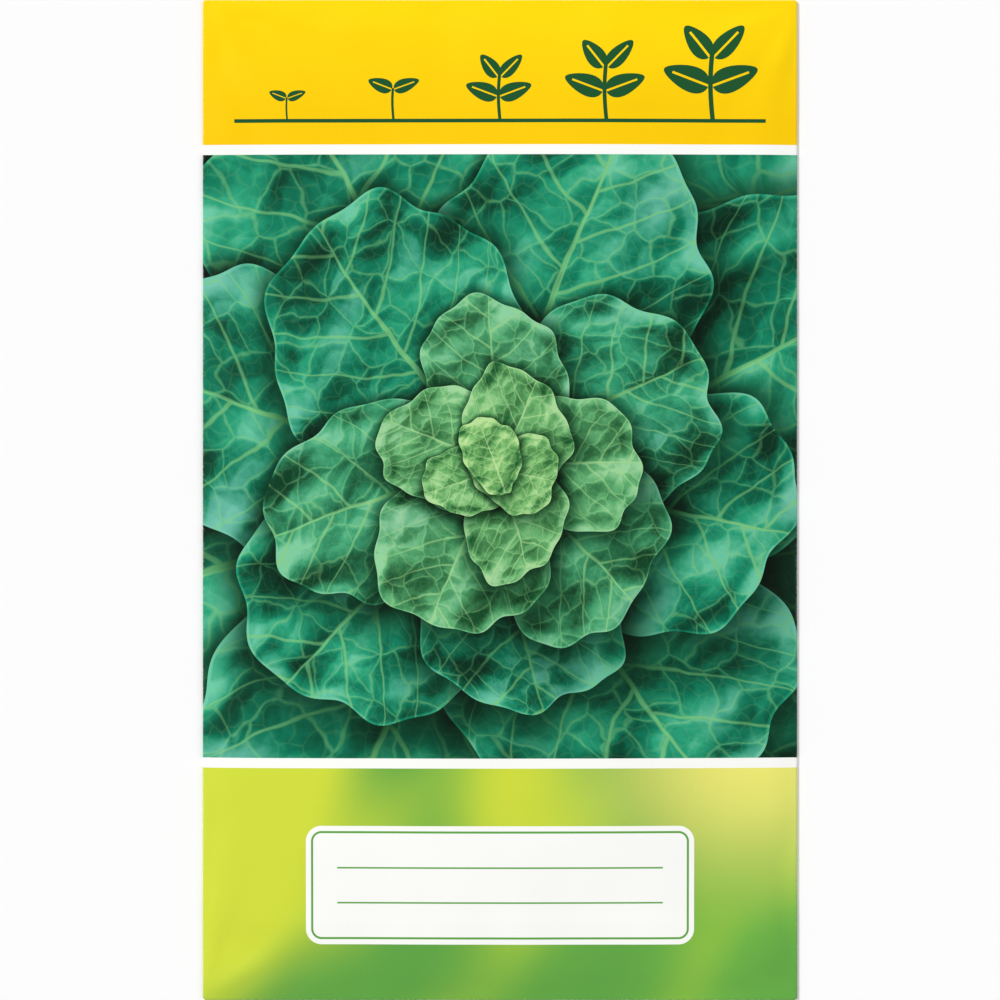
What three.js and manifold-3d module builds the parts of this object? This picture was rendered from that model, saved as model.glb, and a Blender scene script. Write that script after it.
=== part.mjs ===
// A flat paper seed packet, sealed and filled, lying on its back with the printed front up.
// Millimetres, +Z up, top of the packet towards +Y, origin under the middle of the packet on the table.
import * as THREE from 'three';
import { mergeVertices } from 'three/addons/utils/BufferGeometryUtils.js';
import Module from 'manifold-3d';

const wasm = await Module();
wasm.setup();

// The finished packet, fold to fold.
const packetWidth = 95;
const packetLength = 160;
const paper = 0.2; // one layer of the sheet
const edgeGap = 0.2; // air between the panels where they meet at the folds
const bulge = 3.8; // how far the filled front panel stands above its folds
const fullestY = -22; // the contents lie low, so the panel is fullest below the middle
const sideCrown = 0.95; // 1 is a plain parabola from side to side, less is fuller
const endCrown = 0.9;
const endHold = 2.4; // more keeps the fullness further towards the two ends
const layersAtFold = 3; // a glued layer, the back panel and the front panel

// What is folded onto the back and glued there.
const seamStripWidth = 11;
const bottomFlapLength = 14;
const topFlapLength = 18;
const flapTaper = 3.5; // how much narrower each end of a flap gets towards its free edge
const flapStand = 3; // the back panel stays up this far past the edge of a glued layer
const sagRun = 14; // and then needs this far to come down to the table
const glueBite = 0.04; // the glued layers are one body

// The unglued slit at each end of the top flap.
const slitWidth = 3;
const slitDepth = 2;
const slitFromFold = 0.9;

// The seeds.
const seedRadius = 1.1; // to the corners of the faceted seed, about 1 on average
const seedPitch = 1.7; // neighbours are pressed a little into each other, so the layer is one body
const seedClearance = 0.3;
const patchCentre = new THREE.Vector2(-3, -36);
const patchRadii = new THREE.Vector2(10.5, 6.2);
const patchRagged = 0.22; // how far the patch's rim wanders, of its radius
const rimWaves = [{ share: 0.3, turns: 3, start: 1 }, { share: 0.2, turns: 7, start: 0 }];
const seedJitter = 0.07;
const scatter = { column: 12.9898, row: 78.233, channel: 37.719, spread: 43758.5453 };

const panelColumns = 16;
const panelRows = 27;
const weldWithin = 1e-4;
const halfWidth = packetWidth / 2;
const halfLength = packetLength / 2;
const stripX = halfWidth - seamStripWidth;

function smooth(t) {
  const s = THREE.MathUtils.clamp(t, 0, 1);
  return s * s * (3 - 2 * s);
}

// Outer face of the back panel: held up by the glued layers, down on the table in the middle.
function backHeight(x, y) {
  const inside = Math.min(
    x + halfWidth,
    stripX - x,
    y + halfLength - bottomFlapLength,
    halfLength - topFlapLength - y,
  );
  return paper * (1 - smooth((inside - flapStand) / sagRun));
}

// Outer face of the front panel: a low pillow, fullest towards the bottom.
function frontHeight(x, y) {
  const across = 1 - (x / halfWidth) ** 2;
  const reach = y > fullestY ? halfLength - fullestY : halfLength + fullestY;
  const along = 1 - (Math.abs(y - fullestY) / reach) ** endHold;
  const fullness = Math.max(across, 0) ** sideCrown * Math.max(along, 0) ** endCrown;
  return layersAtFold * paper + edgeGap + bulge * fullness;
}

function toManifold(geometry) {
  const bare = geometry.clone();
  bare.deleteAttribute('normal');
  bare.deleteAttribute('uv');
  const welded = mergeVertices(bare, weldWithin);
  return new wasm.Manifold(new wasm.Mesh({
    numProp: 3,
    vertProperties: new Float32Array(welded.attributes.position.array),
    triVerts: new Uint32Array(welded.index.array),
  }));
}

function toGeometry(solid) {
  const mesh = solid.getMesh();
  const geometry = new THREE.BufferGeometry();
  geometry.setAttribute('position', new THREE.BufferAttribute(mesh.vertProperties, 3));
  geometry.setIndex(new THREE.BufferAttribute(mesh.triVerts, 1));
  geometry.computeVertexNormals();
  return geometry;
}

// The closed space between two height functions, over the packet's outline less an inset all round.
function between(lower, upper, inset) {
  const geometry = new THREE.BoxGeometry(
    packetWidth - 2 * inset, packetLength - 2 * inset, 1, panelColumns, panelRows, 1,
  );
  const position = geometry.attributes.position;
  for (let i = 0; i < position.count; i += 1) {
    const [x, y, z] = [position.getX(i), position.getY(i), position.getZ(i)];
    position.setZ(i, z > 0 ? upper(x, y) : lower(x, y));
  }
  return toManifold(geometry);
}

// A strip of the sheet lying flat on the table under the back panel, from its outline's corners.
function foldedLayer(corners) {
  const outline = new THREE.Shape(corners.map(([x, y]) => new THREE.Vector2(x, y)));
  return toManifold(new THREE.ExtrudeGeometry(outline, { depth: paper + glueBite, bevelEnabled: false }));
}

function seamStrip() {
  return foldedLayer([
    [stripX, -halfLength], [halfWidth, -halfLength], [halfWidth, halfLength], [stripX, halfLength],
  ]);
}

function flap(foldY, freeY) {
  return foldedLayer([
    [-halfWidth, foldY], [halfWidth, foldY], [halfWidth - flapTaper, freeY], [flapTaper - halfWidth, freeY],
  ]);
}

// The mouth's two ends, left open where the top flap narrows away from the corners.
function mouthSlit(side) {
  const slit = new THREE.BoxGeometry(slitWidth, slitDepth, edgeGap);
  slit.translate(
    side * (halfWidth - slitFromFold - slitWidth / 2), halfLength, 2 * paper + edgeGap / 2,
  );
  return toManifold(slit);
}

function foldedSheet() {
  const bag = between(backHeight, frontHeight, 0);
  const room = between((x, y) => backHeight(x, y) + paper, (x, y) => frontHeight(x, y) - paper, paper);
  return bag
    .subtract(room)
    .add(seamStrip())
    .add(flap(-halfLength, bottomFlapLength - halfLength))
    .add(flap(halfLength, halfLength - topFlapLength))
    .subtract(mouthSlit(-1))
    .subtract(mouthSlit(1));
}

// Repeatable draw from 0 to 1 for one seed.
function draw(column, row, channel) {
  const angle = column * scatter.column + row * scatter.row + channel * scatter.channel;
  const mixed = Math.sin(angle) * scatter.spread;
  return mixed - Math.floor(mixed);
}

// The patch's edge in one direction, as a share of its radius.
function patchRim(turn) {
  const swing = rimWaves.reduce(
    (sum, wave) => sum + wave.share * Math.sin(wave.turns * turn + wave.start), 0.5,
  );
  return 1 - patchRagged * swing;
}

// Where the seeds lie: rows a little staggered and shaken, in a patch with a ragged rim.
function seedPlaces() {
  const places = [];
  const rowPitch = seedPitch * Math.sqrt(3) / 2;
  const reach = Math.ceil(patchRadii.x / rowPitch) + 2;
  for (let row = -reach; row <= reach; row += 1) {
    for (let column = -reach; column <= reach; column += 1) {
      const x = (column + (row % 2 ? 0.5 : 0)) * seedPitch;
      const y = row * rowPitch;
      const turn = Math.atan2(y / patchRadii.y, x / patchRadii.x);
      if (Math.hypot(x / patchRadii.x, y / patchRadii.y) > patchRim(turn)) continue;
      places.push(new THREE.Vector3(
        patchCentre.x + x + (draw(column, row, 1) - 0.5) * 2 * seedJitter,
        patchCentre.y + y + (draw(column, row, 2) - 0.5) * 2 * seedJitter,
        paper + seedClearance + seedRadius + draw(column, row, 3) * seedJitter,
      ));
    }
  }
  return places;
}

function seedLayer() {
  const seeds = seedPlaces().map((place, index) => {
    const seed = new THREE.IcosahedronGeometry(seedRadius, 0);
    seed.rotateZ(index);
    seed.translate(place.x, place.y, place.z);
    return toManifold(seed);
  });
  return seeds.reduce((whole, seed) => whole.add(seed));
}

function piece(name, solid, colour, roughness) {
  const material = new THREE.MeshStandardMaterial({ color: colour, roughness, metalness: 0 });
  const mesh = new THREE.Mesh(toGeometry(solid), material);
  mesh.name = name;
  return mesh;
}

const seedPacket = new THREE.Group();
seedPacket.add(piece('packet', foldedSheet(), 0x4f9a50, 0.45));
seedPacket.add(piece('seeds', seedLayer(), 0x3a241b, 0.7));

export default seedPacket;
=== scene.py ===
import math

import bpy
import numpy as np
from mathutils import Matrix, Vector


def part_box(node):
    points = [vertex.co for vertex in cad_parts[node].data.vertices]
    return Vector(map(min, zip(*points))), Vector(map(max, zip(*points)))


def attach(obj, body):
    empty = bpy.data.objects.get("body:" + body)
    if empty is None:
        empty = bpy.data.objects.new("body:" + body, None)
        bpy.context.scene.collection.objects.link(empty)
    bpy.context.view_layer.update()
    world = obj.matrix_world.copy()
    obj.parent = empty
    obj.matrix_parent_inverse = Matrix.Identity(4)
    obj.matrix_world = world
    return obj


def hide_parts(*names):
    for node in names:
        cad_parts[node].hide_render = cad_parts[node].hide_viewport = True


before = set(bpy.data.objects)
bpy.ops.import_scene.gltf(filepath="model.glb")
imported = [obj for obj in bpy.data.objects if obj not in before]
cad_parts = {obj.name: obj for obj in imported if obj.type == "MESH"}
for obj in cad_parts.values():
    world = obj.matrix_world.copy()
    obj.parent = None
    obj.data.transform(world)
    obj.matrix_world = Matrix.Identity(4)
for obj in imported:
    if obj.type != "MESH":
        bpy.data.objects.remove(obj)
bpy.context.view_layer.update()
mm = 0.001
packetLow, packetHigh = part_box("packet")
packetWidth = (packetHigh.x - packetLow.x) / mm
packetLength = (packetHigh.y - packetLow.y) / mm
halfWidth, halfLength = packetWidth / 2, packetLength / 2
origin = (0, 0, 0)
print("frame loaded, packet", round(packetWidth), "by", round(packetLength), "mm")


def addObject(name, data):
    made = bpy.data.objects.new(name, data)
    bpy.context.scene.collection.objects.link(made)
    return made


# Camera

viewSettings = {"lens": 180, "planeHeight": 0.8 * mm}  # the packet fills the view at this height


def makeCamera():
    data = bpy.data.cameras.new("viewFromAbove")
    data.lens = viewSettings["lens"]
    camera = addObject("viewFromAbove", data)
    distance = packetLength / 2 * mm / (data.sensor_width / 2 / data.lens)
    camera.location = (0, 0, viewSettings["planeHeight"] + distance)
    bpy.context.scene.camera = camera


makeCamera()
print("camera placed")


# Node wiring

class Wiring:
    def __init__(self, tree):
        self.tree = tree

    def feed(self, socket, value):
        if isinstance(value, bpy.types.NodeSocket):
            self.tree.links.new(value, socket)
        else:
            socket.default_value = value

    def node(self, kind, inputs=None, **settings):
        made = self.tree.nodes.new(kind)
        for name, value in settings.items():
            setattr(made, name, value)
        for name, value in (inputs or {}).items():
            self.feed(made.inputs[name], value)
        return made

    def maths(self, operation, *values):
        return self.node("ShaderNodeMath", dict(enumerate(values)), operation=operation).outputs[0]

    def add(self, a, b):
        return self.maths("ADD", a, b)

    def less(self, a, b):
        return self.maths("SUBTRACT", a, b)

    def times(self, a, b):
        return self.maths("MULTIPLY", a, b)

    def over(self, a, b):
        return self.maths("DIVIDE", a, b)

    def timesAdd(self, a, b, c):
        return self.maths("MULTIPLY_ADD", a, b, c)

    def most(self, a, b):
        return self.maths("MAXIMUM", a, b)

    def apart(self, a, b):
        return self.maths("ABSOLUTE", self.less(a, b))

    def vector(self, operation, *values):
        made = self.node("ShaderNodeVectorMath", dict(enumerate(values)), operation=operation)
        return made.outputs["Value" if operation in ("LENGTH", "DOT_PRODUCT") else "Vector"]

    def scaled(self, vector, factor):
        inputs = {"Vector": vector, "Scale": factor}
        return self.node("ShaderNodeVectorMath", inputs, operation="SCALE").outputs["Vector"]

    def ramp(self, value, low, high, toLow=0.0, toHigh=1.0):  # smooth step from low to high
        inputs = {"Value": value, "From Min": low, "From Max": high, "To Min": toLow, "To Max": toHigh}
        return self.node("ShaderNodeMapRange", inputs, interpolation_type="SMOOTHSTEP").outputs[0]

    def turn(self, point, angle):
        inputs = {"Vector": point, "Angle": angle}
        return self.node("ShaderNodeVectorRotate", inputs, rotation_type="Z_AXIS").outputs[0]

    def split(self, vector):
        return self.node("ShaderNodeSeparateXYZ", {0: vector}).outputs

    def join(self, x, y, z=0.0):
        return self.node("ShaderNodeCombineXYZ", {0: x, 1: y, 2: z}).outputs[0]

    def mix(self, kind, factor, a, b, blend="MIX"):
        place = {"FLOAT": 2, "VECTOR": 4, "RGBA": 6}[kind]  # of the sockets for that kind of value
        inputs = {0: factor, place: a, place + 1: b}
        made = self.node("ShaderNodeMix", inputs, data_type=kind, blend_type=blend)
        return made.outputs[place // 2 - 1]

    def mixColour(self, factor, a, b):
        return self.mix("RGBA", factor, a, b)

    def noise(self, point, scale, detail, dimensions="2D", output="Fac"):
        inputs = {"Vector": point, "Scale": scale, "Detail": detail}
        return self.node("ShaderNodeTexNoise", inputs, noise_dimensions=dimensions).outputs[output]

    def cells(self, point, scale):  # distance to the nearest cell wall
        inputs = {"Vector": point, "Scale": scale}
        settings = {"voronoi_dimensions": "2D", "feature": "DISTANCE_TO_EDGE"}
        return self.node("ShaderNodeTexVoronoi", inputs, **settings).outputs["Distance"]

    def rampColours(self, value, stops):
        made = self.node("ShaderNodeValToRGB", {0: value})
        band = made.color_ramp
        while len(band.elements) < len(stops):
            band.elements.new(0.5)
        for element, (place, colour) in zip(band.elements, stops):
            element.position = place
            element.color = colour
        return made.outputs[0]

    def group(self, tree, inputs):
        return self.node("ShaderNodeGroup", inputs, node_tree=tree).outputs

    def bump(self, height, strength, depth):
        inputs = {"Height": height, "Strength": strength, "Distance": depth * mm}
        return self.node("ShaderNodeBump", inputs).outputs[0]


def makeGroup(name, inputs, outputs):  # sockets by name, each with its starting value
    tree = bpy.data.node_groups.new(name, "ShaderNodeTree")
    for side, sockets in (("INPUT", inputs), ("OUTPUT", outputs)):
        for label, value in sockets.items():
            kind = "NodeSocketVector" if isinstance(value, tuple) else "NodeSocketFloat"
            tree.interface.new_socket(label, in_out=side, socket_type=kind).default_value = value
    entry = tree.nodes.new("NodeGroupInput")
    leave = tree.nodes.new("NodeGroupOutput")
    return tree, Wiring(tree), entry.outputs, leave.inputs


def ink(red, green, blue):  # 0 to 255 as seen, to linear light
    def linear(value):
        share = value / 255
        return share / 12.92 if share <= 0.04045 else ((share + 0.055) / 1.055) ** 2.4
    return (linear(red), linear(green), linear(blue), 1)


# Flat shapes for the prints, mostly 1 inside and 0 outside. Points on the sheet are in millimetres from
# the front's lower left corner.

def stripe(w, value, centre, width):
    return w.maths("LESS_THAN", w.apart(value, centre), w.times(width, 0.5))


def within(w, across, up, left, bottom, right, top):
    inWidth = stripe(w, across, (left + right) / 2, right - left)
    return w.times(inWidth, stripe(w, up, (bottom + top) / 2, top - bottom))


def linesEach(w, value, start, pitch, width):  # thin lines, one at each pitch
    return w.maths("LESS_THAN", w.maths("PINGPONG", w.less(value, start), pitch / 2), width / 2)


def roundedBox(w, across, up, centre, half, corner):  # how far outside a box with round corners
    outX = w.most(w.less(w.apart(across, centre[0]), half[0] - corner), 0)
    outY = w.most(w.less(w.apart(up, centre[1]), half[1] - corner), 0)
    return w.less(w.vector("LENGTH", w.join(outX, outY)), corner)


# Printed leaves

leafForm = {
    "measure": 50.0,  # every leaf is drawn this long, and laid at its own length
    "baseBreadth": 0.7,
    "broadening": 0.46,  # towards the tip
    "waves": ((3, 0.05, 1.7), (7, 0.032, 3.1), (13, 0.02, 5.3)),  # turns, strength, start for each seed
    "lightFrom": 2.1,  # the way the printed light comes from, in radians
    "shadowStart": 0.02,  # the shadow's measures are shares of the leaf that casts it
    "shadowReach": 0.3,
    "shadowLean": 0.16,
    "shadowLeast": 0.06,
    "shadowDepth": 0.1,  # the share of light that is left
    "groundShade": 0.03,
}
leafInks = {  # from shade to light
    "grown": (
        (0.0, ink(0, 50, 32)), (0.2, ink(0, 76, 52)), (0.45, ink(8, 122, 90)),
        (0.7, ink(40, 160, 120)), (1.0, ink(106, 198, 162)),
    ),
    "young": (
        (0.05, ink(28, 98, 48)), (0.38, ink(88, 152, 82)), (0.64, ink(128, 190, 112)),
        (0.95, ink(184, 222, 150)),
    ),
    "bloom": ink(120, 186, 176),
    "vein": ink(122, 196, 126),
    "youngVein": ink(188, 226, 156),
}


def makeLeafPlaceGroup(leaf, below):  # lays one leaf over what was laid before it
    form = leafForm
    inputs = {"Point": origin, **leaf, **below}
    tree, w, entry, leave = makeGroup("leafPlace", inputs, below)
    placed = w.node("ShaderNodeMapping", {
        "Vector": entry["Point"], "Location": entry["Base"],
        "Rotation": entry["Turn"], "Scale": entry["Size"],
    }, vector_type="TEXTURE").outputs[0]
    share, aside, _ = w.split(placed)
    aside = w.timesAdd(w.times(share, share), entry["Bend"], aside)
    reachX = w.timesAdd(share, 2, -1)
    reachY = w.over(aside, w.timesAdd(share, form["broadening"], form["baseBreadth"]))
    reach = w.join(reachX, reachY)
    angle = w.maths("ARCTAN2", reachY, reachX)
    waves = 1.0
    for (turns, strength, _), start in zip(form["waves"], w.split(entry["Waves"])):
        waves = w.timesAdd(w.maths("SINE", w.timesAdd(angle, turns, start)), strength, waves)
    inward = w.less(1, w.over(w.vector("LENGTH", reach), waves))
    mask = w.maths("GREATER_THAN", inward, 0)
    own = w.join(w.times(share, form["measure"]), w.times(aside, entry["Slimness"]), inward)
    w.feed(leave["Coordinates"], w.mix("VECTOR", mask, entry["Coordinates"], own))
    w.feed(leave["Facts"], w.mix("VECTOR", mask, entry["Facts"], entry["Own"]))
    lit = w.vector("DOT_PRODUCT", reach, entry["Light"])
    lean = w.timesAdd(lit, form["shadowLean"], -form["shadowReach"])
    lean = w.maths("MINIMUM", lean, -form["shadowLeast"])
    fall = w.ramp(inward, lean, form["shadowStart"], 1.0, form["shadowDepth"])
    w.feed(leave["Shade"], w.mix("FLOAT", mask, w.times(entry["Shade"], fall), 1.0))
    return tree


leafVein = {  # on a leaf drawn at its measure. Each edge runs from nothing to full strength.
    "ribHalf": 0.74,
    "ribTaper": 0.0122,
    "ribEdge": (0.14, -0.16),
    "pitch": 7.6,
    "first": 0.25,  # where the first vein is, in pitches
    "stagger": 0.25,  # between the two sides of the rib
    "forward": 0.62,  # veins leave the rib and bend forward
    "forwardMore": 0.014,
    "half": 0.26,
    "taper": 0.009,
    "edge": (0.12, -0.12),
    "tilt": 0.8,  # distance from a vein, for one along the rib
    "strength": 0.8,
    "net": {"size": 5.2, "edge": (0.05, 0.008), "strength": 0.42},
    "fineNet": {"size": 1.9, "edge": (0.1, 0.0), "strength": 0.14},
}


def leafVeins(w, along, across, stirred):  # a rib, its side veins and two nets, as one strength
    vein = leafVein
    out = w.maths("ABSOLUTE", across)
    ribHalf = w.timesAdd(along, -vein["ribTaper"], vein["ribHalf"])
    rib = w.ramp(w.less(out, ribHalf), *vein["ribEdge"])
    run = w.less(along, w.times(out, w.timesAdd(out, vein["forwardMore"], vein["forward"])))
    stagger = w.timesAdd(w.maths("SIGN", across), vein["stagger"], vein["first"])
    turnShare = w.maths("FRACT", w.timesAdd(run, 1 / vein["pitch"], stagger))
    offVein = w.times(w.apart(turnShare, 0.5), vein["pitch"] * vein["tilt"])
    half = w.timesAdd(out, -vein["taper"], vein["half"])
    side = w.ramp(w.less(offVein, half), *vein["edge"])
    nets = 0
    for net in (vein["fineNet"], vein["net"]):
        lines = w.ramp(w.cells(stirred, 1 / net["size"]), *net["edge"])
        nets = w.timesAdd(lines, net["strength"], nets)
    return w.most(w.most(rib, w.times(side, vein["strength"])), nets)


leafShading = {
    "ground": 0.3,
    "field": 0.8,  # how strongly the fields between the net's veins bulge
    "fieldStep": 0.8,
    "foldScale": 0.07,
    "foldStep": 2.8,
    "fold": 1.5,
    "foldAtRim": 1.6,  # folds are this much stronger there
    "foldRim": (0.45, 0.05),
    "foldTone": 0.4,
    "mottleScale": 0.9,
    "mottle": 0.2,
    "dipAt": 0.13,  # a darker line inside the rim
    "dipWidth": 0.07,
    "dip": 0.1,
    "lip": 0.1,  # and a paler one on the rim itself
    "lipRim": (0.11, 0.03),
    "edge": 0.26,
    "edgeRim": (0.022, 0.004),
    "slope": 0.12,  # between the two sides of the rib
    "slopeReach": 14.0,
}


def leafLight(w, flat, stirred, inward, light):  # how brightly each spot is lit, about 0 to 1
    shading, netScale = leafShading, 1 / leafVein["net"]["size"]
    stepped = w.vector("ADD", stirred, w.scaled(light, shading["fieldStep"]))
    bulge = w.less(w.cells(stepped, netScale), w.cells(stirred, netScale))
    value = w.timesAdd(bulge, shading["field"], shading["ground"])
    folds = w.noise(flat, shading["foldScale"], 1)
    stepped = w.vector("ADD", flat, w.scaled(light, shading["foldStep"]))
    foldsAhead = w.noise(stepped, shading["foldScale"], 1)
    strength = w.timesAdd(w.ramp(inward, *shading["foldRim"]), shading["foldAtRim"], shading["fold"])
    value = w.timesAdd(w.less(foldsAhead, folds), strength, value)
    value = w.timesAdd(folds, shading["foldTone"], value)
    mottle = w.noise(flat, shading["mottleScale"], 3)
    value = w.timesAdd(w.less(mottle, 0.5), shading["mottle"], value)
    offDip = w.apart(inward, shading["dipAt"])
    value = w.timesAdd(w.ramp(offDip, shading["dipWidth"], 0), -shading["dip"], value)
    value = w.timesAdd(w.ramp(inward, *shading["lipRim"]), shading["lip"], value)
    return w.timesAdd(w.ramp(inward, *shading["edgeRim"]), shading["edge"], value)


leafFinish = {
    "seedGap": 31.0,  # between the patterns of one seed and the next
    "stirScale": 0.13,
    "stir": 4.6,  # how far the nets wander
    "sway": (2.2, 1.2, 0),  # and the rib and its veins, along and across
    "bloomScale": 0.05,
    "bloomPatches": (0.5, 0.75),
    "bloomLight": (0.4, 0.8),
    "bloom": 0.5,
    "veins": 0.32,
    "veinsInLight": 0.8,
    "shadeTint": (1, 0.75, 0.82),  # shade takes red away first
}


def leafSkin(w, coordinates, facts, shade):  # colour of a leaf from its own coordinates
    finish = leafFinish
    along, across, inward = w.split(coordinates)
    tone, seed, angle = w.split(facts)
    flat = w.join(w.timesAdd(seed, finish["seedGap"], along), across)
    stir = w.noise(flat, finish["stirScale"], 2, output="Color")
    stir = w.vector("SUBTRACT", stir, (0.5, 0.5, 0.5))
    stirred = w.vector("ADD", flat, w.scaled(stir, finish["stir"]))
    swayX, swayY, _ = w.split(w.vector("MULTIPLY", stir, finish["sway"]))
    veins = leafVeins(w, w.add(along, swayX), w.add(across, swayY), stirred)

    light = w.turn((1.0, 0, 0), w.less(leafForm["lightFrom"], angle))
    value = leafLight(w, flat, stirred, inward, light)
    ribSide = w.times(w.maths("SIGN", across), w.split(light)[1])
    slope = w.ramp(w.maths("ABSOLUTE", across), leafShading["slopeReach"], 0)
    value = w.timesAdd(w.times(ribSide, slope), -leafShading["slope"], value)

    grown = w.rampColours(value, leafInks["grown"])
    young = w.rampColours(value, leafInks["young"])
    patches = w.ramp(w.noise(flat, finish["bloomScale"], 1), *finish["bloomPatches"])
    bloom = w.times(patches, w.ramp(value, *finish["bloomLight"]))
    grown = w.mixColour(w.times(bloom, finish["bloom"]), grown, leafInks["bloom"])
    colour = w.mixColour(tone, grown, young)
    veinColour = w.mixColour(tone, leafInks["vein"], leafInks["youngVein"])
    strength = w.timesAdd(value, finish["veinsInLight"], finish["veins"])
    colour = w.mixColour(w.times(veins, strength), colour, veinColour)
    inks = {place: w.maths("POWER", shade, power) for place, power in enumerate(finish["shadeTint"])}
    shades = w.node("ShaderNodeCombineColor", inks).outputs[0]
    return w.mix("RGBA", 1.0, colour, shades, "MULTIPLY")


# The printed rosette: leaves follow each other round by the same turn, each a little shorter and paler.

rosette = {
    "leaves": 25,
    "centre": (47.0, 85.0),
    "firstTurn": 58.0,  # degrees
    "turn": 137.5,
    "longest": 86.0,
    "shortest": 12.0,
    "shortening": 0.85,
    "slimness": 0.42,
    "paleFrom": 0.5,
    "behind": 0.34,  # how far behind the centre the innermost leaf starts
    "firstSeed": 0.6,
    "seedStep": 1.37,
    "swings": {  # strength, rate and start of what makes the leaves uneven
        "turn": (9.0, 2.3, 0), "length": (0.07, 1.9, 0),
        "slimness": (0.05, 3.1, 0), "bend": (-0.13, 2.7, 1),
    },
}


def leafSwing(measure, number):
    strength, rate, start = rosette["swings"][measure]
    return strength * math.sin(rate * number + start)


def leafBed():
    bed = rosette
    leaves = []
    middleX, middleY = bed["centre"]
    for number in range(bed["leaves"]):
        share = number / (bed["leaves"] - 1)
        turn = bed["firstTurn"] + number * bed["turn"] + leafSwing("turn", number)
        angle = math.radians(turn)
        shortened = (bed["shortest"] - bed["longest"]) * share ** bed["shortening"]
        length = (bed["longest"] + shortened) * (1 + leafSwing("length", number))
        slimness = bed["slimness"] + leafSwing("slimness", number)
        behind = length * bed["behind"] * share ** 2
        tone = max(0, share - bed["paleFrom"]) / (1 - bed["paleFrom"])
        seed = number * bed["seedStep"] + bed["firstSeed"]
        lightTurn = leafForm["lightFrom"] - angle
        leaves.append({
            "Base": (middleX - behind * math.cos(angle), middleY - behind * math.sin(angle), 0),
            "Turn": (0, 0, angle),
            "Size": (length, length * slimness, 1),
            "Slimness": slimness * leafForm["measure"],
            "Bend": leafSwing("bend", number) / slimness,
            "Waves": tuple(seed * start for _, _, start in leafForm["waves"]),
            "Light": (math.cos(lightTurn), math.sin(lightTurn), 0),
            "Own": (tone, seed, angle),
        })
    return leaves


def printedLeaves(w, point):
    leaves = leafBed()
    below = {"Coordinates": origin, "Facts": origin, "Shade": leafForm["groundShade"]}
    leafPlace = makeLeafPlaceGroup(leaves[0], below)
    for leaf in leaves:
        laid = w.group(leafPlace, {"Point": point, **leaf, **below})
        below = {name: laid[name] for name in below}
    return leafSkin(w, below["Coordinates"], below["Facts"], below["Shade"])


# A row of printed sprouts. The measures are millimetres for a sprout of size 1.

sprout = {
    "stemWidth": 0.72,
    "stemHeight": 9.3,
    "tallStemMore": 1.4,  # the taller sprouts have more stem and a second pair of leaves
    "tallFrom": 1.5,
    "bow": 0.35,
    "bowRate": 0.28,
    "low": {"away": 3.75, "height": 10.3, "lean": 0.36, "half": (3.7, 1.9)},
    "lowDrop": 3.6,
    "high": {"away": 2.4, "height": 12.2, "lean": 0.85, "half": (3.2, 1.6)},
    "pointed": 0.1,
    "ribHalf": 0.18,
    "ribShare": 0.62,
    "groundLine": 0.6,
}


def sproutLeaf(w, mirrored, tall, leaf):
    halfLong, halfWide = leaf["half"]
    point = w.join(w.less(mirrored, leaf["away"]), w.less(tall, leaf["height"]))
    along, across, _ = w.split(w.turn(point, -leaf["lean"]))
    pointed = w.over(w.over(across, halfWide), w.timesAdd(along, -sprout["pointed"], 1.0))
    shape = w.maths("LESS_THAN", w.vector("LENGTH", w.join(w.over(along, halfLong), pointed)), 1)
    offRib = w.maths("GREATER_THAN", w.maths("ABSOLUTE", across), sprout["ribHalf"])
    pastRib = w.maths("GREATER_THAN", along, halfLong * sprout["ribShare"])
    return w.times(shape, w.most(offRib, pastRib))


def makeSeedlingRowGroup():  # each sprout is a little taller than the one before
    inputs = {"Point": origin, "Start": 0, **headerLook["sprouts"]}
    tree, w, entry, leave = makeGroup("seedlingRow", inputs, {"Mask": 0})
    across, up, _ = w.split(entry["Point"])
    place = w.over(w.less(across, entry["Start"]), entry["Pitch"])
    number = w.maths("FLOOR", place)
    size = w.timesAdd(number, entry["Growth"], entry["Smallest"])
    sideways = w.over(w.times(w.less(w.maths("FRACT", place), 0.5), entry["Pitch"]), size)
    tall = w.over(w.less(up, entry["Ground Line"]), size)
    bowed = w.timesAdd(w.maths("SINE", w.times(tall, sprout["bowRate"])), sprout["bow"], sideways)
    mirrored = w.maths("ABSOLUTE", bowed)

    grown = w.maths("GREATER_THAN", number, sprout["tallFrom"])
    stemHeight = w.timesAdd(grown, sprout["tallStemMore"], sprout["stemHeight"])
    inStem = stripe(w, tall, w.times(stemHeight, 0.5), stemHeight)
    stem = w.times(stripe(w, bowed, 0, sprout["stemWidth"]), inStem)
    low = sproutLeaf(w, mirrored, w.timesAdd(grown, sprout["lowDrop"], tall), sprout["low"])
    high = w.times(sproutLeaf(w, mirrored, tall, sprout["high"]), grown)
    plants = w.most(stem, w.most(low, high))
    ground = stripe(w, up, entry["Ground Line"], sprout["groundLine"])
    inRow = stripe(w, place, w.times(entry["Count"], 0.5), entry["Count"])
    w.feed(leave["Mask"], w.times(w.most(plants, ground), inRow))
    return tree


# The front is printed in three fields, footer, leaves and header, with a white line between each two.

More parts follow.
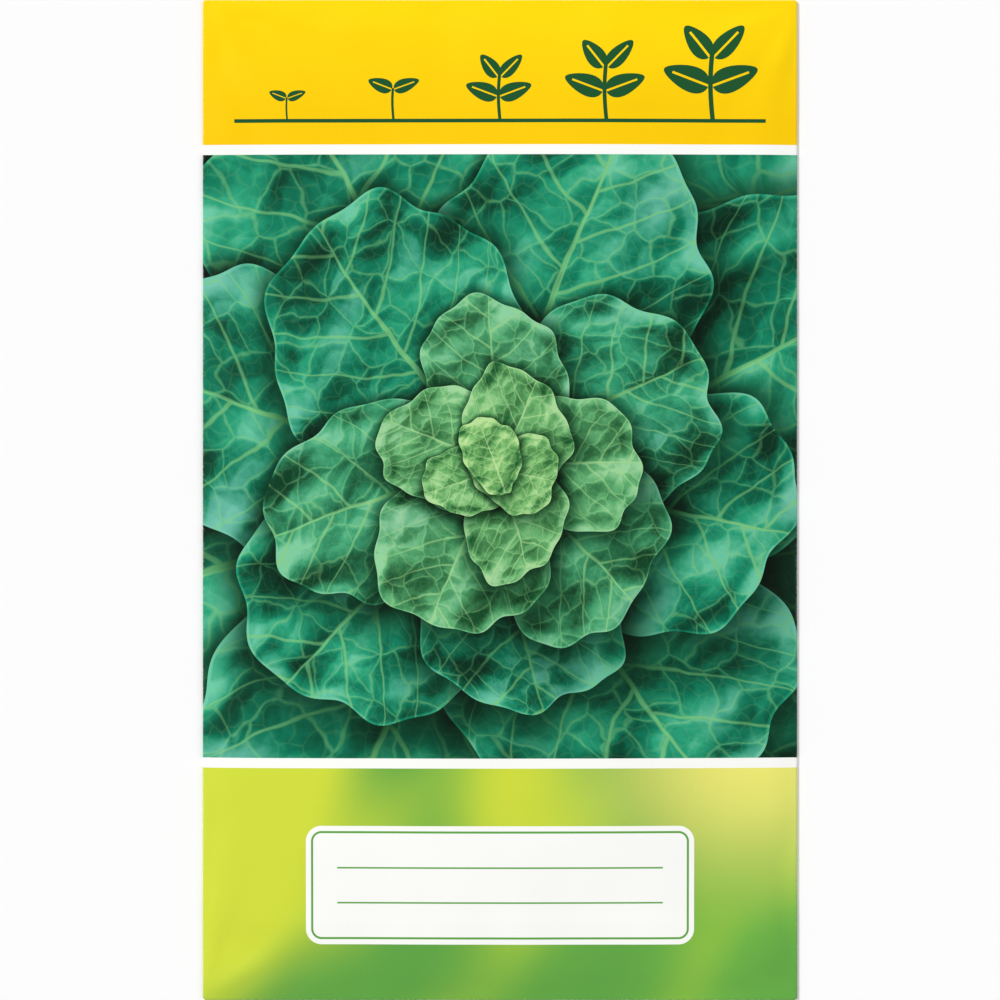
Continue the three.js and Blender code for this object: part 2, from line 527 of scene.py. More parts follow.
fieldLines = {"Low": 38.0, "High": 136.0, "Width": 1.6}
footerLook = {
    "grassInk": ink(116, 184, 70),
    "limeInk": ink(208, 220, 62),
    "deepGrassInk": ink(96, 164, 70),
    "glowInk": ink(246, 238, 120),
    "blurTurn": 0.5,
    "blurStretch": (1.5, 0.7, 1),
    "blurScale": 0.021,
    "grassBand": (0.36, 0.62),
    "limeBand": (0.3, 0.62),
    "limeDrift": 0.0022,  # less lime towards the right
    "glowCentre": (88.0, 38.5),
    "glowReach": 38.0,
    "glowFlatness": 1.3,
    "glow": 0.9,
    "labelCentre": (47.5, 18.5),
    "labelHalf": (31.0, 9.5),
    "labelRound": 2.5,
    "frameInset": 1.0,
    "frameLine": 0.34,
    "linePitch": 5.6,
    "lineInset": 5.0,
    "writingLine": 0.26,
}
headerLook = {
    "ink": ink(254, 216, 2),
    "shade": ink(250, 203, 0),
    "sproutInk": ink(28, 84, 44),
    "sprouts": {"Pitch": 17.0, "Count": 5.0, "Ground Line": 140.6, "Smallest": 0.4, "Growth": 0.16},
}


def writingLabel(w, across, up, colour):
    look = footerLook
    (middleX, middleY), (halfX, halfY) = look["labelCentre"], look["labelHalf"]
    offLabel = roundedBox(w, across, up, (middleX, middleY), (halfX, halfY), look["labelRound"])
    colour = w.mixColour(w.maths("LESS_THAN", offLabel, 0), colour, paperLook["white"])
    frameLine = stripe(w, offLabel, -look["frameInset"], look["frameLine"])
    pitch, reach = look["linePitch"], halfX - look["lineInset"]
    ruled = linesEach(w, up, middleY - pitch / 2, pitch, look["writingLine"])
    inRuled = within(w, across, up, middleX - reach, middleY - pitch, middleX + reach, middleY + pitch)
    lines = w.most(frameLine, w.times(ruled, inRuled))
    return w.mixColour(lines, colour, look["deepGrassInk"])


def footerPrint(w, point):  # soft light through leaves, and a label to write on
    look = footerLook
    across, up, _ = w.split(point)
    slanted = w.vector("MULTIPLY", w.turn(point, look["blurTurn"]), look["blurStretch"])
    blur = w.noise(slanted, look["blurScale"], 1)
    soft = w.mixColour(w.ramp(blur, *look["grassBand"]), look["deepGrassInk"], look["grassInk"])
    limes = w.ramp(w.timesAdd(across, -look["limeDrift"], blur), *look["limeBand"])
    soft = w.mixColour(limes, soft, look["limeInk"])
    glowX, glowY = look["glowCentre"]
    fromGlow = w.join(w.less(across, glowX), w.times(w.less(up, glowY), look["glowFlatness"]))
    glow = w.ramp(w.vector("LENGTH", fromGlow), look["glowReach"], 0, 0, look["glow"])
    return writingLabel(w, across, up, w.mixColour(glow, soft, look["glowInk"]))


def headerPrint(w, point):
    shading = w.ramp(w.split(point)[1], fieldLines["High"], packetLength)
    header = w.mixColour(shading, headerLook["shade"], headerLook["ink"])
    sprouts = headerLook["sprouts"]
    start = halfWidth - sprouts["Count"] * sprouts["Pitch"] / 2
    mask = w.group(seedlingRow, {"Point": point, "Start": start, **sprouts})["Mask"]
    return w.mixColour(mask, header, headerLook["sproutInk"])


# The back is seen turned over: its points run from the glued strip's side to the other fold.

backPrint = {
    "ground": ink(247, 248, 236),
    "bandFrom": 126.0,
    "bandTo": 142.5,
    "bandInk": ink(70, 142, 66),
    "calendarCorner": (16.5, 96.0),
    "months": 12,
    "monthWidth": 6.17,
    "rowHeight": 5.5,
    "bars": ((6, 10, ink(226, 128, 44)), (3, 5, ink(120, 184, 70)), (1, 3, ink(250, 205, 30))),
    "gridLine": 0.36,
    "lineInk": ink(62, 122, 74),
    "rulesFrom": 44.0,
    "rulesTo": 88.8,
    "rulePitch": 6.4,
    "ruleLine": 0.34,
    "ruleInk": ink(172, 200, 160),
    "sprouts": {
        "Start": 20.0, "Ground Line": 21.0, "Pitch": 13.5, "Count": 5.0,
        "Smallest": 0.36, "Growth": 0.13,
    },
}


def calendar(w, across, up, colour):  # twelve months, and bars for sowing, planting and picking
    look = backPrint
    left, bottom = look["calendarCorner"]
    months, month, rowHeight = look["months"], look["monthWidth"], look["rowHeight"]
    right, headFrom = left + months * month, bottom + len(look["bars"]) * rowHeight
    for number, (first, last, coat) in enumerate(look["bars"]):
        low = bottom + number * rowHeight
        bar = within(w, across, up, left + first * month, low, left + last * month, low + rowHeight)
        colour = w.mixColour(bar, colour, coat)
    line = look["gridLine"]
    columns = linesEach(w, across, left, month, line)
    rows = linesEach(w, up, bottom, rowHeight, line)
    grid = within(w, across, up, left - line / 2, bottom - line / 2, right + line / 2, headFrom)
    colour = w.mixColour(w.times(w.most(columns, rows), grid), colour, look["lineInk"])
    heading = within(w, across, up, left, headFrom, right, headFrom + rowHeight)
    return w.mixColour(w.times(heading, w.less(1, columns)), colour, look["lineInk"])


def backFieldPrint(w, point):
    look = backPrint
    alongNet, up, _ = w.split(point)
    across = w.maths("WRAP", alongNet, packetWidth, 0.0)  # the strip carries on the back's print
    turned = w.join(across, up)
    bandFrom, bandTo = look["bandFrom"], look["bandTo"]
    band = stripe(w, up, (bandFrom + bandTo) / 2, bandTo - bandFrom)
    colour = w.mixColour(band, look["ground"], look["bandInk"])
    colour = calendar(w, across, up, colour)
    left = look["calendarCorner"][0]
    right = left + look["months"] * look["monthWidth"]
    low, high, pitch = look["rulesFrom"], look["rulesTo"], look["rulePitch"]
    rules = linesEach(w, up, low + pitch / 2, pitch, look["ruleLine"])
    rules = w.times(rules, within(w, across, up, left, low, right, high))
    colour = w.mixColour(rules, colour, look["ruleInk"])
    sprouts = w.group(seedlingRow, {"Point": turned, **look["sprouts"]})["Mask"]
    return w.mixColour(sprouts, colour, look["bandInk"])


# Paper

paperLook = {
    "white": ink(250, 250, 246),
    "fibreSize": 0.35,
    "fibreDepth": 0.02,
    "cloudScale": 0.12,
    "tint": 0.965,  # where there is neither fibre nor cloud
    "fibreTint": 0.03,
    "cloudTint": 0.03,
    "fibreRoughness": 0.05,
    "cloudRoughness": 0.12,
    "printRoughness": 0.4,
    "printBump": 0.25,
    "sheen": 0.1,
    "bleed": 2.5,  # how far the front's print runs on round the fold
    "plainRoughness": 0.72,
    "plainBump": 0.6,
    "plainInk": ink(246, 245, 238),
    "plainShade": ink(238, 236, 226),
    "shadeScale": 0.05,
    "shade": 0.6,
    "wear": {"Width": 0.35, "Strength": 0.22},
    "wearFall": (1.0, 0.2),  # in those widths away from the fold
    "scuffScale": 1.6,
    "patchScale": 0.09,
    "patches": 0.5,
    "rubbed": (0.7, 0.95),
}


def makePaperGrainGroup():  # faint unevenness of coated paper
    look = paperLook
    inputs = {"Point": origin, "Fibre Size": look["fibreSize"], "Roughness": 0.5}
    outputs = {"Tint": 1, "Roughness": 0.5, "Height": 0}
    tree, w, entry, leave = makeGroup("paperGrain", inputs, outputs)
    fibre = w.noise(entry["Point"], w.over(1, entry["Fibre Size"]), 2)
    cloud = w.noise(entry["Point"], look["cloudScale"], 2)
    clouded = w.timesAdd(cloud, look["cloudTint"], look["tint"])
    w.feed(leave["Tint"], w.timesAdd(fibre, look["fibreTint"], clouded))
    rough = w.timesAdd(fibre, look["fibreRoughness"], entry["Roughness"])
    w.feed(leave["Roughness"], w.timesAdd(w.less(cloud, 0.5), look["cloudRoughness"], rough))
    w.feed(leave["Height"], fibre)
    return tree


def makeFoldWearGroup():  # where the ink has cracked along the packet's outline
    look = paperLook
    tree, w, entry, leave = makeGroup("foldWear", {"Point": origin, **look["wear"]}, {"Mask": 0})
    across, up, _ = w.split(entry["Point"])
    beyond = (math.pi / 2 - 1) * sheet["foldRadius"]  # from the outline to the middle of the fold

    def offFold(place, half):
        return w.apart(w.apart(place, half), half + beyond)

    nearest = w.maths("MINIMUM", offFold(across, halfWidth), offFold(up, halfLength))
    near = w.ramp(w.over(nearest, entry["Width"]), *look["wearFall"])
    scuffs = w.noise(entry["Point"], look["scuffScale"], 3)
    patches = w.noise(entry["Point"], look["patchScale"], 1)
    rubbed = w.ramp(w.timesAdd(patches, look["patches"], scuffs), *look["rubbed"])
    w.feed(leave["Mask"], w.times(w.times(near, rubbed), entry["Strength"]))
    return tree


def makeWhiteLinesGroup():
    tree, w, entry, leave = makeGroup("whiteLines", {"Point": origin, **fieldLines}, {"Mask": 0})
    up = w.split(entry["Point"])[1]
    low = stripe(w, up, entry["Low"], entry["Width"])
    w.feed(leave["Mask"], w.add(low, stripe(w, up, entry["High"], entry["Width"])))
    return tree


def startMaterial(name):
    material = bpy.data.materials.new(name)
    material.use_nodes = True
    tree = material.node_tree
    shader = tree.nodes["Principled BSDF"]
    return material, Wiring(tree), shader


def sheetPoint(w):
    uv = w.node("ShaderNodeUVMap", uv_map="sheet").outputs[0]
    return w.scaled(uv, packetLength)


def finishPaper(w, shader, point, colour, roughness, bumpStrength):
    inputs = {"Point": point, "Fibre Size": paperLook["fibreSize"], "Roughness": roughness}
    made = w.group(paperGrain, inputs)
    w.feed(shader.inputs["Base Color"], w.scaled(colour, made["Tint"]))
    w.feed(shader.inputs["Roughness"], made["Roughness"])
    w.feed(shader.inputs["Normal"], w.bump(made["Height"], bumpStrength, paperLook["fibreDepth"]))


def makePrintedPaper(name, fieldPrint, lined):
    look = paperLook
    material, w, shader = startMaterial(name)
    point = sheetPoint(w)
    colour = fieldPrint(w, point)
    if lined:
        lines = w.group(whiteLines, {"Point": point, **fieldLines})["Mask"]
        colour = w.mixColour(lines, colour, look["white"])
    wear = w.group(foldWear, {"Point": point, **look["wear"]})["Mask"]
    colour = w.mixColour(wear, colour, look["plainInk"])
    finishPaper(w, shader, point, colour, look["printRoughness"], look["printBump"])
    shader.inputs["Specular IOR Level"].default_value = look["sheen"]
    return material


def makePlainPaper():
    look = paperLook
    material, w, shader = startMaterial("plainPaper")
    point = sheetPoint(w)
    warm = w.times(w.noise(point, look["shadeScale"], 2), look["shade"])
    colour = w.mixColour(warm, look["plainInk"], look["plainShade"])
    finishPaper(w, shader, point, colour, look["plainRoughness"], look["plainBump"])
    return material


# The folded sheet, in millimetres from the middle of the packet and up from the table

sheet = {
    "thickness": 0.12,
    "foldRadius": 0.2,
    "seamStrip": 11.0,
    "bottomFlap": 14.0,
    "topFlap": 18.0,
    "flapTaper": 3.5,
    "backInset": 0.74,  # from the outline to the back panel's free edge
    "edgeTop": 0.56,  # top of the front panel at its folds
    "foldOpening": 0.24,  # how much the folds spring open
    "openingRun": 5.0,
    "bulge": 3.72,
    "fullestY": -22.0,
    "sideCrown": 0.95,
    "endCrown": 0.9,
    "endHold": 2.4,
    "layerLift": 0.15,  # of the back panel over what is glued under it
    "ease": 6.0,
    "leftLift": 0.1,
    "leftRun": 14.0,
    "overFlap": 1.15,  # rise of the strip over a flap, in sheets
    "flapEase": 2.0,
    "leastAir": 0.03,
    "gridStep": 1.0,
    "foldedStep": 1.5,
    "edgeSteps": (0, 0.25, 0.6),
    "foldSteps": 6,
}
seedBed = {
    "radius": 1.0,
    "shape": (0.97, 0.94, 0.93),  # across, up and high
    "least": 0.86,  # the smallest seed, as a share of that radius
    "variety": 0.1,
    "lump": 0.03,
    "lumpTurns": (3, 4),
    "pitch": 1.7,
    "standsAt": 0.5,  # height of the underside of a seed of full radius
    "centre": (-3.0, -36.0),
    "radii": (10.5, 6.2),
    "ragged": 0.22,  # how far the rim wanders, of its radius
    "rimWaves": ((0.3, 3, 1), (0.2, 7, 0)),  # share, turns and start
    "jitter": 0.07,
    "scatter": (12.9898, 78.233, 37.719, 43758.5453),
}


def seedDraw(column, row, channel):  # repeatable, from 0 to 1
    byColumn, byRow, byChannel, spread = seedBed["scatter"]
    mixed = math.sin(column * byColumn + row * byRow + channel * byChannel) * spread
    return mixed - math.floor(mixed)


def patchRim(turn):  # as a share of the patch's radius
    swing = sum(share * math.sin(turns * turn + start) for share, turns, start in seedBed["rimWaves"])
    return 1 - seedBed["ragged"] * (0.5 + swing)


def seedPlaces():
    places = []
    pitch, jitter = seedBed["pitch"], seedBed["jitter"]
    (centreX, centreY), (radiusX, radiusY) = seedBed["centre"], seedBed["radii"]
    rowPitch = pitch * math.sqrt(3) / 2
    reach = math.ceil(radiusX / rowPitch) + 2
    for row in range(-reach, reach + 1):
        for column in range(-reach, reach + 1):
            x = (column + (0.5 if row % 2 else 0)) * pitch
            y = row * rowPitch
            turn = math.atan2(y / radiusY, x / radiusX)
            if math.hypot(x / radiusX, y / radiusY) > patchRim(turn):
                continue
            places.append((
                centreX + x + (seedDraw(column, row, 1) - 0.5) * 2 * jitter,
                centreY + y + (seedDraw(column, row, 2) - 0.5) * 2 * jitter,
                seedBed["standsAt"] + seedBed["radius"] + seedDraw(column, row, 3) * jitter,
            ))
    return places


# How the front departs from an even pillow. A wave has a rate across, a rate up and a start.
frontForm = {
    "wave": 0.26,
    "waves": ((0.071, 0.043, 0.6), (-0.031, 0.052, 1.9)),
    "ripple": 0.08,
    "ripples": ((0.19, -0.05, 2.2), (0.07, 0.12, 0)),
    "wavesFrom": 8.0,  # their full height is this far inside the folds
    "cornerCrease": 0.2,
    "creases": ((1, 8, 1.3, 2), (0.5, 15, 1, 0)),  # strength, turns, and starts by side and by end
    "creaseReach": (9, 22),  # run to full height, and away again
    "sidePucker": 0.2,
    "sideReach": (3, 10),
    "endPucker": 0.16,
    "endReach": (3, 12),
    "endStart": 0.7,
    "pucker": (0.27, 1.3),  # rate and start
    "puckerSway": (1.4, 0.083),  # strength and rate
    "finePucker": (0.35, 0.61, 2.1),  # strength, rate and start
    "puckersFrom": 1.5,
    "seamBehind": 0.045,
    "flapBehind": 0.07,
    "behindRun": 0.8,
    "seedBump": 0.1,
    "faintest": 0.4,
    "bumpSpread": 1.6,
    "bumpMost": 1.3,
}


def smooth(t):
    s = np.clip(t, 0, 1)
    return s * s * (3 - 2 * s)


def riseAndFade(distance, reach):
    rise, fade = reach
    return smooth(distance / rise) * np.exp(-distance / fade)


def insideFolds(x, y, run):
    return smooth((halfWidth - np.abs(x)) / run) * smooth((halfLength - np.abs(y)) / run)


def crossedWaves(x, y, waves):
    first, second = [np.sin(rateX * x + rateY * y + start) for rateX, rateY, start in waves]
    return first * second


def cornerCreases(x, y):  # creases that run out of each corner like a fan
    total = 0
    for sideX in (-1, 1):
        for sideY in (-1, 1):
            offX, offY = halfWidth - sideX * x, halfLength - sideY * y
            turn = np.arctan2(offY, offX)
            fade = riseAndFade(np.hypot(offX, offY), frontForm["creaseReach"])
            for strength, turns, startX, startY in frontForm["creases"]:
                total = total + strength * np.sin(turn * turns + startX * sideX + startY * sideY) * fade
    return frontForm["cornerCrease"] * total


def puckers(along, fromFold, side, reach):  # short waves that fade away from a fold
    (rate, start), (sway, swayRate) = frontForm["pucker"], frontForm["puckerSway"]
    fine, fineRate, fineStart = frontForm["finePucker"]
    crests = np.sin(rate * along + start * side + sway * np.sin(swayRate * along))
    crests = crests + fine * np.sin(fineRate * along + fineStart * side)
    return crests * riseAndFade(fromFold, reach)


def stripCover(x, ahead, run):  # rises over the run, which starts that far ahead of the glued strip
    return smooth((x - halfWidth + sheet["seamStrip"] + ahead) / run)


def flapCover(y, ahead, run):
    bottom = smooth((sheet["bottomFlap"] - halfLength - y + ahead) / run)
    return bottom + smooth((y - halfLength + sheet["topFlap"] + ahead) / run)


def gluedBehind(x, y):  # what is glued to the back shows faintly through
    run = frontForm["behindRun"]
    strip, flaps = stripCover(x, 0, run), flapCover(y, 0, run)
    return frontForm["seamBehind"] * strip + frontForm["flapBehind"] * flaps


def frontRelief(x, y):
    form = frontForm
    total = cornerCreases(x, y)
    for side in (-1, 1):
        along = puckers(y, halfWidth - side * x, side, form["sideReach"])
        across = puckers(x, halfLength - side * y, side + form["endStart"], form["endReach"])
        total = total + form["sidePucker"] * along + form["endPucker"] * across
    waves = form["wave"] * crossedWaves(x, y, form["waves"])
    waves = waves + form["ripple"] * crossedWaves(x, y, form["ripples"]) + gluedBehind(x, y)
    return total * insideFolds(x, y, form["puckersFrom"]) + waves * insideFolds(x, y, form["wavesFrom"])


def seedBumps(x, y):  # the seeds show through the front
    form = frontForm
    total = np.zeros_like(x)
    for seedX, seedY, _ in seedPlaces():
        near = (x - seedX) ** 2 + (y - seedY) ** 2
        weight = form["faintest"] + (1 - form["faintest"]) * seedDraw(seedX, seedY, 5)
        total += weight * np.exp(-near / form["bumpSpread"])
    return form["seedBump"] * np.minimum(total, form["bumpMost"])


# Heights of the middle of the sheet's thickness

def backMiddle(x, y):
    ease = sheet["ease"]
    lifted = sheet["layerLift"] * (stripCover(x, ease, ease) + flapCover(y, ease, ease))
    lifted = lifted + sheet["leftLift"] * (1 - smooth((x + halfWidth) / sheet["leftRun"]))
    return lifted + sheet["thickness"] / 2


def pillow(x, y):  # the filled front, fullest towards the bottom
    across = np.clip(1 - (x / halfWidth) ** 2, 0, 1)
    fullestY = sheet["fullestY"]
    reach = np.where(y > fullestY, halfLength - fullestY, halfLength + fullestY)
    along = np.clip(1 - (np.abs(y - fullestY) / reach) ** sheet["endHold"], 0, 1)
    return sheet["bulge"] * across ** sheet["sideCrown"] * along ** sheet["endCrown"]


def frontMiddle(x, y):  # never lower than the back panel and a little air
    fromFold = np.minimum(halfWidth - np.abs(x), halfLength - np.abs(y))
    opened = sheet["foldOpening"] * smooth(fromFold / sheet["openingRun"])
    free = sheet["edgeTop"] - sheet["thickness"] / 2 + opened
    free = free + pillow(x, y) + frontRelief(x, y) + seedBumps(x, y)
    lowest = backMiddle(x, y) + sheet["thickness"] + sheet["leastAir"]
    soft = sheet["leastAir"]
    return lowest + soft * np.logaddexp(0, (free - lowest) / soft)


def stripMiddle(x, y):
    ease = sheet["flapEase"]
    return sheet["thickness"] * (0.5 + sheet["overFlap"] * flapCover(y, ease, ease)) + 0 * x


def rolled(turn, top, bottom):  # height of the sheet part way round a fold
    return (top + bottom) / 2 + (top - bottom) / 2 * np.cos(turn)


def roundFold(place, half, side):  # angle, how far past the fold, the fold's place and the new place
    r = sheet["foldRadius"]
    past = side * place - (half - r)
    turn = np.clip(past / r, 0, math.pi)
    under = np.maximum(past - math.pi * r, 0)
    fold = side * (half - r)
    return turn, under, fold + 0 * place, fold + side * (r * np.sin(turn) - under)


def foldedSide(x, y, side, level):
    turn, _, fold, newX = roundFold(x, halfWidth, side)
    return newX, y, rolled(turn, frontMiddle(fold, y), level(newX, y))


def foldedEnd(x, y, side, flapLength):
    turn, under, fold, newY = roundFold(y, halfLength, side)
    newX = x * (1 - sheet["flapTaper"] / halfWidth * under / flapLength)
    return newX, newY, rolled(turn, frontMiddle(x, fold), sheet["thickness"] / 2)


def makeSheetNet():  # the flat sheet as a grid, and where each of its points lies once folded
    r = sheet["foldRadius"]
    arc = math.pi * r
    net, owners, faces, regions, index = [], [], [], [], {}

    def vertexAt(u, v, region):
        key = (round(u, 4), round(v, 4))
        if key not in index:
            index[key] = len(net)
            net.append((u, v))
            owners.append(region)
        return index[key]

    def lay(us, vs, region):
        grid = [[vertexAt(u, v, region) for u in us] for v in vs]
        for row in range(len(vs) - 1):
            for column in range(len(us) - 1):
                low, high = grid[row], grid[row + 1]
                faces.append((low[column], low[column + 1], high[column + 1], high[column]))
                regions.append(region)

    def steps(start, end, size):
        return np.linspace(start, end, max(2, round(abs(end - start) / size) + 1)).tolist()

    def foldThenRun(panel, length, side):  # round the panel's low or high fold, and on
        start = r if side < 0 else panel - r
        bend = [start + side * arc * n / sheet["foldSteps"] for n in range(sheet["foldSteps"] + 1)]
        run = steps(bend[-1], bend[-1] + side * (length - r), sheet["foldedStep"])
        return (bend + run[1:])[::side]

    def foldToFold(length):  # closer beside the folds
        first = [r + step for step in sheet["edgeSteps"]]
        last = [length - place for place in reversed(first)]
        return first[:-1] + steps(first[-1], last[0], sheet["gridStep"]) + last[1:]

    across, along = foldToFold(packetWidth), foldToFold(packetLength)
    lay(across, along, "front")
    lay(foldThenRun(packetWidth, packetWidth - sheet["backInset"], -1), along, "back")
    lay(foldThenRun(packetWidth, sheet["seamStrip"], 1), along, "strip")
    lay(across, foldThenRun(packetLength, sheet["bottomFlap"], -1), "bottomFlap")
    lay(across, foldThenRun(packetLength, sheet["topFlap"], 1), "topFlap")

    net, owners = np.array(net), np.array(owners)
    x, y = net[:, 0] - halfWidth, net[:, 1] - halfLength
    points = np.stack([x, y, frontMiddle(x, y)], 1)
    folds = {
        "back": (foldedSide, -1, backMiddle),
        "strip": (foldedSide, 1, stripMiddle),
        "bottomFlap": (foldedEnd, -1, sheet["bottomFlap"]),
        "topFlap": (foldedEnd, 1, sheet["topFlap"]),
    }
    for region, (fold, side, fact) in folds.items():
        own = owners == region
        points[own] = np.stack(fold(x[own], y[own], side, fact), 1)
    return points, net, faces, regions


# Where each part of the sheet lies on the bake map: its scale and the place of its lowest corner
bakeLayout = {
    "front": (0.00605, (0.0075, 0.0075)),
    "back": (0.0037, (0.600, 0.006)),
    "strip": (0.0037, (0.954, 0.006)),
    "bottomFlap": (0.0037, (0.600, 0.610)),
    "topFlap": (0.0037, (0.600, 0.672)),
    "innerFront": (0.0012, (0.600, 0.760)),
    "innerBack": (0.0012, (0.722, 0.760)),
    "innerStrip": (0.0012, (0.842, 0.760)),
    "innerBottomFlap": (0.0012, (0.862, 0.760)),
    "innerTopFlap": (0.0012, (0.862, 0.800)),
    "rim": (0.0, (0.95, 0.95)),
}
rimCorners = ((0.0, 0.0), (0.01, 0.0), (0.01, 0.01), (0.0, 0.01))  # all faces of the rim share these


def thicken(points, net, faces, regions):  # two skins, and a rim where the sheet is cut
    mesh = bpy.data.meshes.new("sheetMiddle")
    mesh.from_pydata((points * mm).tolist(), [], faces)
    mesh.update()
    normals = np.array([vertex.normal for vertex in mesh.vertices])
    bpy.data.meshes.remove(mesh)
    half = sheet["thickness"] / 2
    count = len(points)
    skins = np.concatenate([points + normals * half, points - normals * half]) * mm
    nets = np.concatenate([net, net])
    allFaces = list(faces)
    edges = {}  # in the order they are met
    for face in faces:
        allFaces.append(tuple(count + corner for corner in reversed(face)))
        edges.update(dict.fromkeys(zip(face, face[1:] + face[:1])))
    names = regions + ["inner" + name[0].upper() + name[1:] for name in regions]
    for start, end in edges:
        if (end, start) not in edges:
            allFaces.append((end, start, count + start, count + end))
            names.append("rim")
    return skins, nets, allFaces, names


def regionStarts(nets, faces, names):
    starts = {}
    for face, name in zip(faces, names):
        low = nets[list(face)].min(0)
        starts[name] = np.minimum(starts.get(name, low), low)
    return starts


def paperOf(name, face, nets):  # which of the packet's papers a face shows
    if name == "rim" or name.startswith("inner"):
        return "plain"
    across, up = nets[list(face)].mean(0)
    if name in ("back", "strip") and abs(across - halfWidth) > halfWidth + paperLook["bleed"]:
        return "back"
    if up < fieldLines["Low"]:
        return "footer"
    return "header" if up > fieldLines["High"] else "leaves"


def makePacket(papers):
    skins, nets, faces, names = thicken(*makeSheetNet())
    mesh = bpy.data.meshes.new("foldedPacket")
    mesh.from_pydata(skins.tolist(), [], faces)
    sheetMap = mesh.uv_layers.new(name="sheet")
    bakeMap = mesh.uv_layers.new(name="OFBake")
    starts = regionStarts(nets, faces, names)
    sheetPlaces, bakePlaces = [], []
    for face, name in zip(faces, names):
        scale, corner = bakeLayout[name]
        for rimCorner, vertex in zip(rimCorners, face):
            sheetPlaces.extend(nets[vertex] / packetLength)
            offset = rimCorner if name == "rim" else (nets[vertex] - starts[name]) * scale
            bakePlaces.extend((corner[0] + offset[0], corner[1] + offset[1]))
    sheetMap.data.foreach_set("uv", sheetPlaces)
    bakeMap.data.foreach_set("uv", bakePlaces)
    for paper in papers.values():
        mesh.materials.append(paper)
    order = {name: number for number, name in enumerate(papers)}
    chosen = [order[paperOf(name, face, nets)] for name, face in zip(names, faces)]
    mesh.polygons.foreach_set("material_index", chosen)
    mesh.polygons.foreach_set("use_smooth", [name != "rim" for name in names])
    mesh.update()
    packet = addObject("foldedPacket", mesh)
    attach(packet, "root")
    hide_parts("packet")
    return packet


seedlingRow = makeSeedlingRowGroup()
paperGrain = makePaperGrainGroup()
foldWear = makeFoldWearGroup()
whiteLines = makeWhiteLinesGroup()
packetPiece = makePacket({
    "footer": makePrintedPaper("footerPaper", footerPrint, True),
    "leaves": makePrintedPaper("leafPaper", printedLeaves, True),
    "header": makePrintedPaper("headerPaper", headerPrint, True),
    "back": makePrintedPaper("backPaper", backFieldPrint, False),
    "plain": makePlainPaper(),
})
print("packet folded,", len(packetPiece.data.polygons), "faces")


# The seeds inside

seedLook = {
    "coat": ink(92, 58, 42),
    "shadow": ink(48, 28, 22),
    "patchScale": 0.8,
    "patches": (0.3, 0.7),
    "pitScale": 9.0,
    "pitDepth": 0.05,
    "pitBump": 0.5,
    "pitRoughness": 0.3,
    "roughness": 0.5,
}


def makeSeedCoat():
    look = seedLook
    material, w, shader = startMaterial("seedCoat")
    place = w.node("ShaderNodeTexCoord").outputs["Object"]
    point = w.scaled(place, 1 / mm)
    patches = w.noise(point, look["patchScale"], 3, "3D")
    pits = w.noise(point, look["pitScale"], 2, "3D")
    colour = w.mixColour(w.ramp(patches, *look["patches"]), look["shadow"], look["coat"])
    w.feed(shader.inputs["Base Color"], colour)
    w.feed(shader.inputs["Roughness"], w.timesAdd(pits, look["pitRoughness"], look["roughness"]))
    w.feed(shader.inputs["Normal"], w.bump(pits, look["pitBump"], look["pitDepth"]))
    return material


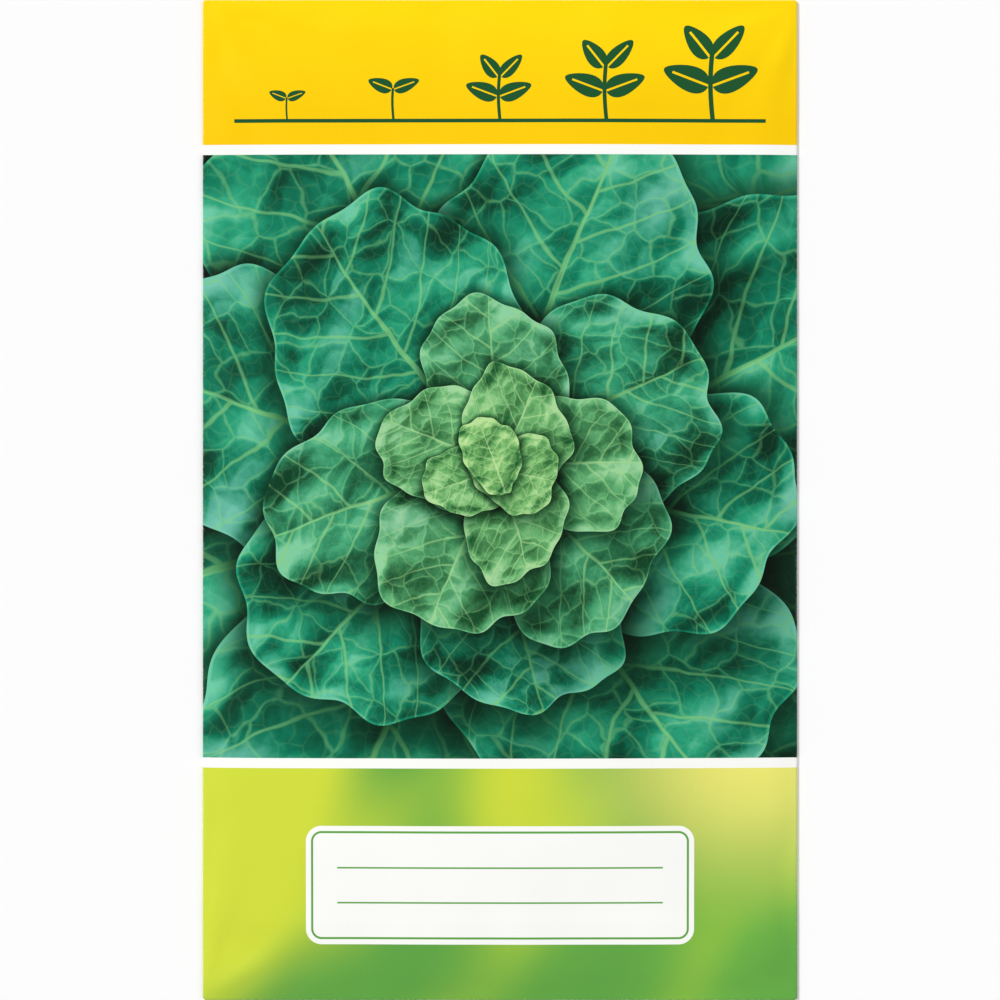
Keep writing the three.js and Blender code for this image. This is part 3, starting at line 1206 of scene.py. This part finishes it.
def makeSeeds(coat):
    bed = seedBed
    bpy.ops.mesh.primitive_ico_sphere_add(subdivisions=3, radius=1)
    ball = bpy.context.object
    unit = np.array([vertex.co for vertex in ball.data.vertices])
    unitFaces = np.array([polygon.vertices[:] for polygon in ball.data.polygons])
    bpy.data.objects.remove(ball)
    turnsX, turnsY = bed["lumpTurns"]
    vertices, faces = [], []
    for number, (x, y, z) in enumerate(seedPlaces()):
        lump = np.sin(turnsX * unit[:, 0] + number) * np.sin(turnsY * unit[:, 1] + 2 * number)
        share = bed["least"] + bed["variety"] * seedDraw(x, y, 7)
        size = bed["radius"] * np.array(bed["shape"]) * share
        faces.append(unitFaces + len(unit) * number)
        vertices.append(unit * (1 + bed["lump"] * lump)[:, None] * size + (x, y, z))
    mesh = bpy.data.meshes.new("seedBed")
    mesh.from_pydata((np.concatenate(vertices) * mm).tolist(), [], np.concatenate(faces).tolist())
    mesh.polygons.foreach_set("use_smooth", [True] * len(mesh.polygons))
    mesh.materials.append(coat)
    seeds = addObject("seedBed", mesh)
    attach(seeds, "root")
    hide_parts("seeds")


makeSeeds(makeSeedCoat())
print("seeds laid,", len(seedPlaces()))


# Table and light

studio = {
    "tableColour": ink(250, 250, 250),
    "tableRoughness": 0.9,
    "tableSize": 60.0,
    "lights": (  # where each comes from, its strength, and its width in degrees
        ("keyLight", (-0.75, 0.62, 0.85), 2.1, 16.0),
        ("fillLight", (1.0, -0.5, 0.9), 0.52, 50.0),
    ),
    "roomLight": 0.484,
    "roomSeen": 0.985,
}


def makeTable():
    bpy.ops.mesh.primitive_plane_add(size=studio["tableSize"])
    table = bpy.context.object
    table.name = "table"
    material, _, shader = startMaterial("paleTable")
    shader.inputs["Base Color"].default_value = studio["tableColour"]
    shader.inputs["Roughness"].default_value = studio["tableRoughness"]
    table.data.materials.append(material)


def makeLight(name, comesFrom, strength, width):
    data = bpy.data.lights.new(name, "SUN")
    data.energy = strength
    data.angle = math.radians(width)
    addObject(name, data).rotation_euler = Vector(comesFrom).to_track_quat("Z", "Y").to_euler()


def makeRoom():  # even light all round, and a pale ground behind everything
    world = bpy.data.worlds.new("paleRoom")
    world.use_nodes = True
    w = Wiring(world.node_tree)
    background = world.node_tree.nodes["Background"]
    seen = w.node("ShaderNodeLightPath").outputs["Is Camera Ray"]
    w.feed(background.inputs["Strength"], w.mix("FLOAT", seen, studio["roomLight"], studio["roomSeen"]))
    background.inputs["Color"].default_value = (1, 1, 1, 1)
    bpy.context.scene.world = world


makeTable()
for light in studio["lights"]:
    makeLight(*light)
makeRoom()
bpy.context.scene.view_settings.view_transform = "Standard"
print("table and lights placed")
